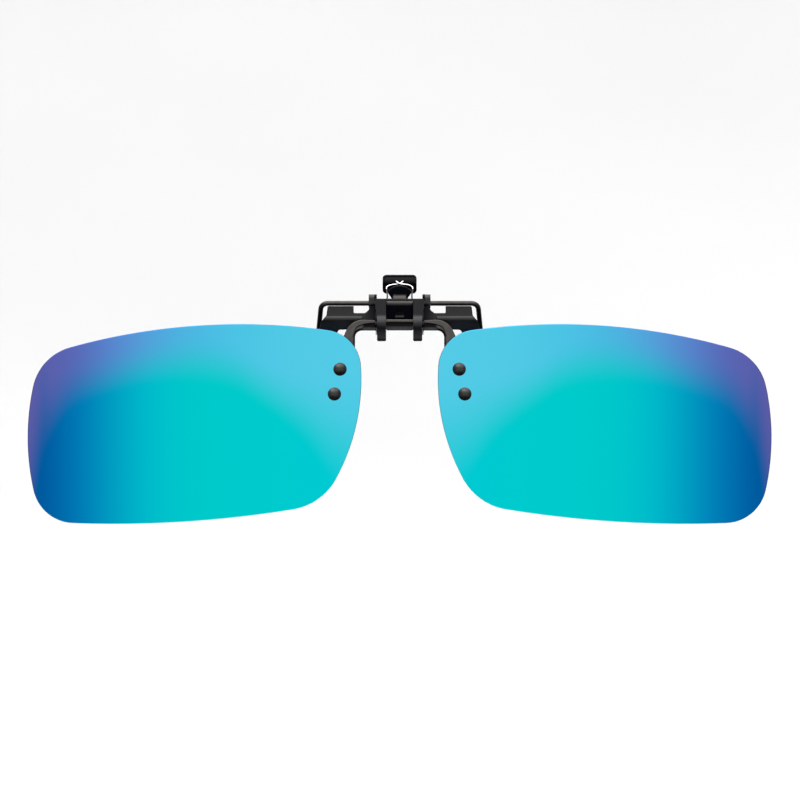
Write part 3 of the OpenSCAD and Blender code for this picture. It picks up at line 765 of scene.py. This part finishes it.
def set_lens_normals(mesh, marks, verts, side, turn):
    """Exact normals: ball-shaped front and back, a rim that rolls over, and round hole walls."""
    middle = Vector((side * LENS_X, LENS_CURVE - LENS_FRONT, -LENS_DROP))
    walls = [on_lens(side, place) for place in RIVETS.values()]
    normals = []
    for polygon, mark in zip(mesh.polygons, marks):
        for loop in polygon.loop_indices:
            index = mesh.loops[loop].vertex_index
            point = Vector(verts[index])
            ball = (point - middle).normalized()
            if mark == 1:
                ball = -ball
            if mark > 1:
                near = min(walls, key=lambda w: (w[0] - point).length)
                off = point - near[0]
                off -= off.dot(near[1]) * near[1]
                if off.length < BUSHING_R + 0.1:
                    ball = -off.normalized()
                elif index in turn:
                    angle, way = turn[index]
                    ball = ball * math.cos(angle) + Vector((side * way.x, 0, way.y)) * math.sin(angle)
            normals.append(ball.normalized())
    mesh.normals_split_custom_set(normals)


# ---- Wires ----

class Bender:
    """Bends a wire from its start, one straight run or bend after another, and keeps its points."""

    def __init__(self, start, direction):
        self.points = [Vector(start)]
        self.direction = Vector(direction).normalized()

    def straight(self, length):
        self.points.append(self.points[-1] + self.direction * length)

    def bend(self, degrees, radius, toward, steps=10):
        side = Vector(toward)
        side = (side - side.dot(self.direction) * self.direction).normalized()
        centre, start = self.points[-1] + side * radius, self.direction
        for k in range(1, steps + 1):
            a = math.radians(degrees) * k / steps
            self.points.append(centre - side * radius * math.cos(a) + start * radius * math.sin(a))
        a = math.radians(degrees)
        self.direction = start * math.cos(a) + side * math.sin(a)


WIRE_R = 0.45


def jaw_wire_path():
    """Middle of the hinge wire: across, down both sloping legs, and in along the feet."""
    run, corner_r, lean, bend_r, foot_r = 12.8, 1.3, 4.8, 1.5, 0.9
    slope, foot_tip = math.radians(36), 11.2
    low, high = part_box("right_rear_sleeve")
    foot = (low + high) / 2 / MM - PIN / MM
    down_slope = Vector((0, math.sin(slope), -math.cos(slope)))
    sine = math.sin(math.radians(lean))
    slope_len = (foot.y - bend_r * (1 - math.cos(slope))) / math.sin(slope)
    upper = (slope_len - corner_r * (1 - sine)) / math.cos(math.radians(lean))
    low_lean = math.asin(sine * math.cos(slope))
    upright_z = -slope_len * math.cos(slope) - bend_r * math.sin(slope)
    lower = (upright_z - foot.z - foot_r * (1 + math.sin(low_lean))) / math.cos(low_lean)
    wire = Bender((0, 0, 0), (1, 0, 0))
    wire.straight(run)
    wire.bend(90 - lean, corner_r, down_slope)
    wire.straight(upper)
    wire.bend(math.degrees(slope), bend_r, (0, -math.cos(slope), -math.sin(slope)))
    wire.straight(lower)
    wire.bend(90 + math.degrees(low_lean), foot_r, (-1, 0, 0))
    wire.straight(wire.points[-1].x - foot_tip - WIRE_R * 0.5)
    half = wire.points[1:]
    return [Vector((-p.x, p.y, p.z)) for p in reversed(half)] + half


def smooth_curve(points, steps):
    """A curve through given points, without its last one."""
    last = len(points) - 1
    out = []
    for i in range(last):
        a, b = Vector(points[max(i - 1, 0)]), Vector(points[i])
        c, d = Vector(points[i + 1]), Vector(points[min(i + 2, last)])
        for k in range(steps):
            t = k / steps
            out.append(((3 * b - a - 3 * c + d) * t ** 3 + (2 * a - 5 * b + 4 * c - d) * t ** 2
                        + (c - a) * t + 2 * b) / 2)
    return out


SPRING_R = 0.14
COIL_R, COIL_IN, COIL_OUT = 0.62, 2.34, 3.78


def spring_path(lift):
    """A torsion spring's wire: its tip behind the thumb tab, its coil, and its lower leg."""
    lean = math.tan(math.radians(24))

    def on_thumb(x, z, off):
        return (x, 2.85 + (z - 1.93) * lean - SPRING_R * 1.24 - off, z)

    tip = smooth_curve([on_thumb(-0.62, 3.95, lift), on_thumb(-0.15, 3.6, lift),
                        on_thumb(0.4, 3.44, lift), on_thumb(1, 3.38, lift),
                        on_thumb(1.6, 3.28, lift / 2), on_thumb(2.08, 3.07, 0),
                        on_thumb(2.34, 2.74, 0), (2.28, 2.5, 2.05), (2.2, 1.7, 1.24),
                        (COIL_IN, 0.51, -0.35)], 6)
    start, per_turn = -37.4, 36
    turns = 5 + start / 360
    count = int(turns * per_turn)
    coil = []
    for i in range(count + 1):
        a = math.radians(start - i * 360 / per_turn)
        x = COIL_IN + (COIL_OUT - COIL_IN) * i / (turns * per_turn)
        coil.append(Vector((x, COIL_R * math.cos(a), COIL_R * math.sin(a))))
    leg = [(COIL_OUT, COIL_R, -0.2), (COIL_OUT, COIL_R, -0.75), (4.2, 0.63, -1.7),
           (4.2, 0.64, -3.2), (4.2, 0.64, -4.7), (4.16, 0.5, -5.55)]
    return tip + coil + smooth_curve(leg, 4) + [Vector(leg[-1])]


# ---- Fastenings ----

PLATE_Y = LENS_T + WASHER_T + 0.05
TAIL_Y = PLATE_Y + ARM_T + 0.03


def rivet_profile():
    """From the top of the domed head, down the shank, to the clinched tail."""
    head_r, head_h, tail_r, tail_h = 1.18, 0.54, 0.98, 0.34
    ball = (head_r ** 2 + head_h ** 2) / (2 * head_h)
    reach = math.asin(head_r / ball)
    head = []
    for k in range(13):
        a = reach * 0.96 * k / 12
        head.append((ball * math.sin(a), FLANGE_T + head_h - ball * (1 - math.cos(a))))
    edge = [(head_r, FLANGE_T + 0.03), (head_r - 0.03, FLANGE_T), (SHANK_R, FLANGE_T),
            (SHANK_R, -TAIL_Y), (tail_r - 0.04, -TAIL_Y), (tail_r, -TAIL_Y - 0.05)]
    tail = []
    for k in range(1, 9):
        a = math.pi / 2 * k / 8
        tail.append((tail_r * math.cos(a), -TAIL_Y - 0.05 - (tail_h - 0.05) * math.sin(a)))
    tail[-1] = (0, tail[-1][1])
    return head + edge + tail


def ring_profile(outer, inner, high, low, edge=0.04):
    return [(inner, high - edge), (inner + edge, high), (outer - edge, high), (outer, high - edge),
            (outer, low + edge), (outer - edge, low), (inner + edge, low), (inner, low + edge)]


def bushing_profile():
    bore, flange_r = SHANK_R + 0.02, BUSHING_R + 0.14
    return [(bore, FLANGE_T - 0.03), (bore + 0.03, FLANGE_T), (flange_r - 0.05, FLANGE_T),
            (flange_r, FLANGE_T - 0.05), (flange_r, 0.02), (BUSHING_R - 0.01, 0.02),
            (BUSHING_R - 0.01, -LENS_T + 0.03), (BUSHING_R - 0.04, -LENS_T),
            (bore + 0.03, -LENS_T), (bore, -LENS_T + 0.03)]


def add_block(obj, low, high):
    """Joins a closed block to a piece, between two corners in mm about the jaw hinge's axis."""
    tidy = bmesh.new()
    tidy.from_mesh(obj.data)
    for v in bmesh.ops.create_cube(tidy, size=1)["verts"]:
        share = v.co + Vector((0.5, 0.5, 0.5))
        v.co = to_row([a + (b - a) * t for a, b, t in zip(low, high, share)])
    tidy.to_mesh(obj.data)
    tidy.free()


def crisp(obj, degrees=30):
    """Keeps creases sharper than an angle out of the smooth shading."""
    limit = math.radians(degrees)
    tidy = bmesh.new()
    tidy.from_mesh(obj.data)
    for edge in tidy.edges:
        if len(edge.link_faces) == 2 and edge.calc_face_angle() > limit:
            edge.smooth = False
    tidy.to_mesh(obj.data)
    tidy.free()
    return obj


# ---- Assembly ----

def build_metalwork():
    """The sheet pieces and the casting, then the hinge wire."""
    # CAD node, body, voxel in mm, smoothing passes, share of faces kept, coat and material slot
    sheets = (
        ("jaw_plate", "clip_body", 0.055, 4, 0.4, plate_coat(), "black_sheet"),
        ("hinge_bracket", "clip_body", 0.045, 4, 0.5, bracket_coat(), "black_sheet"),
        ("thumb_lever", "rear_jaw", 0.045, 4, 0.5, lever_coat(), "black_sheet"),
        ("detent_spring", "clip_body", 0.03, 2, 0.5, leaf_coat(), "black_sheet"),
        ("bridge", "lens_carrier", 0.055, 4, 0.4, bridge_coat(), "gunmetal_casting"))
    for cad, body, voxel, relax, keep, mat, slot in sheets:
        obj = bent_metal(cad, cad + "_coated", voxel, relax, keep, mat)
        if cad == "detent_spring":  # fills the slot round the leaf, inside the plate
            # Painted shade: the dark block stands in for the shade seen through the slot round the
            # leaf.
            add_block(obj, (-1, 1, -1.7), (1, 1.3, -1.3))
        stand_for(obj, cad, body)
    verts, faces = swept(jaw_wire_path(), WIRE_R, 32)
    obj = new_piece("jaw_wire_drawn", verts, faces, [hinge_wire_coat()])
    stand_for(obj, "jaw_wire", "rear_jaw")


def build_springs(steel):
    for name, side in SIDES.items():
        path = [Vector((side * p.x, p.y, p.z)) for p in spring_path(0.34 if side > 0 else 0)]
        verts, faces = swept(path, SPRING_R, 14, 2)
        obj = new_piece(name + "_torsion_spring_wire", verts, faces, [steel])
        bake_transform(obj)
        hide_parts(name + "_torsion_spring")


def build_grips(rubber):
    for name, side in SIDES.items():
        pad = bent_metal(name + "_front_pad", name + "_front_pad_moulded", 0.09, 12, 0.5, rubber)
        stand_for(pad, name + "_front_pad", "clip_body")
        low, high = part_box(name + "_rear_sleeve")
        low, high = (low - PIN) / MM, (high - PIN) / MM
        end, mouth = (low.x, high.x) if side > 0 else (-high.x, -low.x)
        radius = (high.z - low.z) / 2 - 0.01
        tube = rounded_profile([(0, end + 0.01), (radius, end + 0.01), (radius, mouth - 0.01),
                                (WIRE_R + 0.01, mouth - 0.01), (WIRE_R + 0.01, end + 0.3),
                                (0, end + 0.3)], 0.2)
        middle = Vector((0, (low.y + high.y) / 2, (low.z + high.z) / 2))
        verts, faces = lathed(tube, middle, Vector((side, 0, 0)), Vector((0, 0, 1)), 48)
        sleeve = crisp(new_piece(name + "_rear_sleeve_moulded", verts, faces, [rubber]), 50)
        stand_for(sleeve, name + "_rear_sleeve", "rear_jaw")


def build_optics(mirror, smoked, edge, black, nylon):
    for name, side in SIDES.items():
        lens = build_lens(name + "_lens_mirrored", side, [mirror, smoked, edge])
        stand_for(lens, name + "_lens", "lens_carrier")
        for height, place in RIVETS.items():
            point, normal, across, _ = on_lens(side, place)
            end = f"{name}_{height}_"
            pieces = (
                ("rivet", "_domed", rivet_profile(), False, black, "black_rivet"),
                ("bushing", "_turned", bushing_profile(), True, nylon, "nylon"),
                ("washer", "_turned", ring_profile(1.48, SHANK_R + 0.03, -LENS_T - 0.01,
                                                   -LENS_T - WASHER_T + 0.01),
                 True, nylon, "nylon"))
            for kind, suffix, profile, closed, mat, slot in pieces:
                verts, faces = lathed(profile, point, normal, across, 64, closed)
                obj = crisp(new_piece(end + kind + suffix, verts, faces, [mat]))
                stand_for(obj, end + kind, "lens_carrier")


# ---- Studio ----

def build_stage():
    """A wide pale floor that curves up into a wall all round."""
    floor_z, floor_r, wall_r, top_z = -0.12, 2.3, 3.3, 1.6
    profile = [(0.0, floor_z), (floor_r, floor_z)]
    for k in range(1, 17):
        a = math.pi / 2 * k / 16
        profile.append((floor_r + (wall_r - floor_r) * math.sin(a),
                        floor_z + (wall_r - floor_r) * (1 - math.cos(a))))
    profile.append((wall_r, top_z))
    verts, faces = lathed(profile, Vector(), Vector((0, 0, 1)), Vector((1, 0, 0)), 96)
    mesh = bpy.data.meshes.new("studio_floor")
    mesh.from_pydata(verts, [], faces)
    for polygon in mesh.polygons:
        polygon.use_smooth = True
    floor = bpy.data.objects.new("studio_floor", mesh)
    bpy.context.scene.collection.objects.link(floor)
    mat, tree, shader = material("pale_paper", roughness=0.95)
    shader.inputs["Specular IOR Level"].default_value = 0.1
    fibre = noise(tree, node(tree, "TexCoord").outputs["Object"], 3, 3)
    colour = ramp(tree, fibre, [(0.3, (0.52, 0.52, 0.523)), (0.7, (0.56, 0.56, 0.562))])
    tree.links.new(colour, shader.inputs["Base Color"])
    mesh.materials.append(mat)
    floor.visible_glossy = False


def build_light():
    """A white tent: brightest overhead, even in front and behind, dimmer at the sides and below."""
    world = bpy.data.worlds.new("studio")
    world.use_nodes = True
    tree = world.node_tree
    way = node(tree, "SeparateXYZ", {"Vector": node(tree, "TexCoord").outputs["Generated"]})
    share = math_node(tree, "MULTIPLY_ADD", way.outputs["Z"], 0.5, 0.5)
    levels = ((-1, 0.05), (-0.6, 0.05), (-0.42, 0.25), (-0.3, 0.85), (-0.2, 1.0), (0.28, 1.0),
              (0.5, 1.8), (0.75, 3.0), (1, 3.2))
    peak = 3.2
    stops = [(0.5 + 0.5 * z, (v / peak,) * 3) for z, v in levels]
    tent = ramp(tree, share, stops)
    aside = math_node(tree, "ABSOLUTE", way.outputs["X"])
    dim = rise(tree, aside, 0.5, 0.9, 1.0, 0.35)
    background = tree.nodes["Background"]
    tree.links.new(tent, background.inputs["Color"])
    tree.links.new(math_node(tree, "MULTIPLY", dim, peak), background.inputs["Strength"])
    bpy.context.scene.world = world
    lamp = bpy.data.lights.new("key", "AREA")
    lamp.shape = "RECTANGLE"
    lamp.size, lamp.size_y = 1.2, 0.8
    lamp.energy = 8
    key = bpy.data.objects.new("key", lamp)
    key.location = (-0.5, -0.9, 1.5)
    key.rotation_euler = (Vector() - key.location).to_track_quat("-Z", "Y").to_euler()
    bpy.context.scene.collection.objects.link(key)


def build_camera():
    """A long lens, level and square on, framing a little more than the object's width."""
    away, margin, film, below_pin = 2.5, 1.0742, 36, 17.3
    low, high = CAD_BOX
    data = bpy.data.cameras.new("camera")
    data.sensor_width = film
    data.lens = film * away / ((high.x - low.x) * margin)
    data.clip_start, data.clip_end = 0.05, 50
    camera = bpy.data.objects.new("camera", data)
    camera.location = (0.00007, low.y - away, PIN.z - below_pin * MM)
    camera.rotation_euler = (math.pi / 2, 0, 0)
    bpy.context.scene.collection.objects.link(camera)
    bpy.context.scene.camera = camera


def main():
    rivet_black = coated_metal("black_rivet_coat", (0.004, 0.004, 0.0045), (0.008, 0.008, 0.0085),
                               0.0, 0.3, 7, 0.15, 0.5)
    build_metalwork()
    build_springs(spring_steel())
    build_grips(soft_rubber())
    build_optics(mirror_front(), smoked_back(), ground_edge(), rivet_black, natural_nylon())
    build_stage()
    build_light()
    build_camera()
    bpy.context.scene.view_settings.view_transform = "Standard"


main()
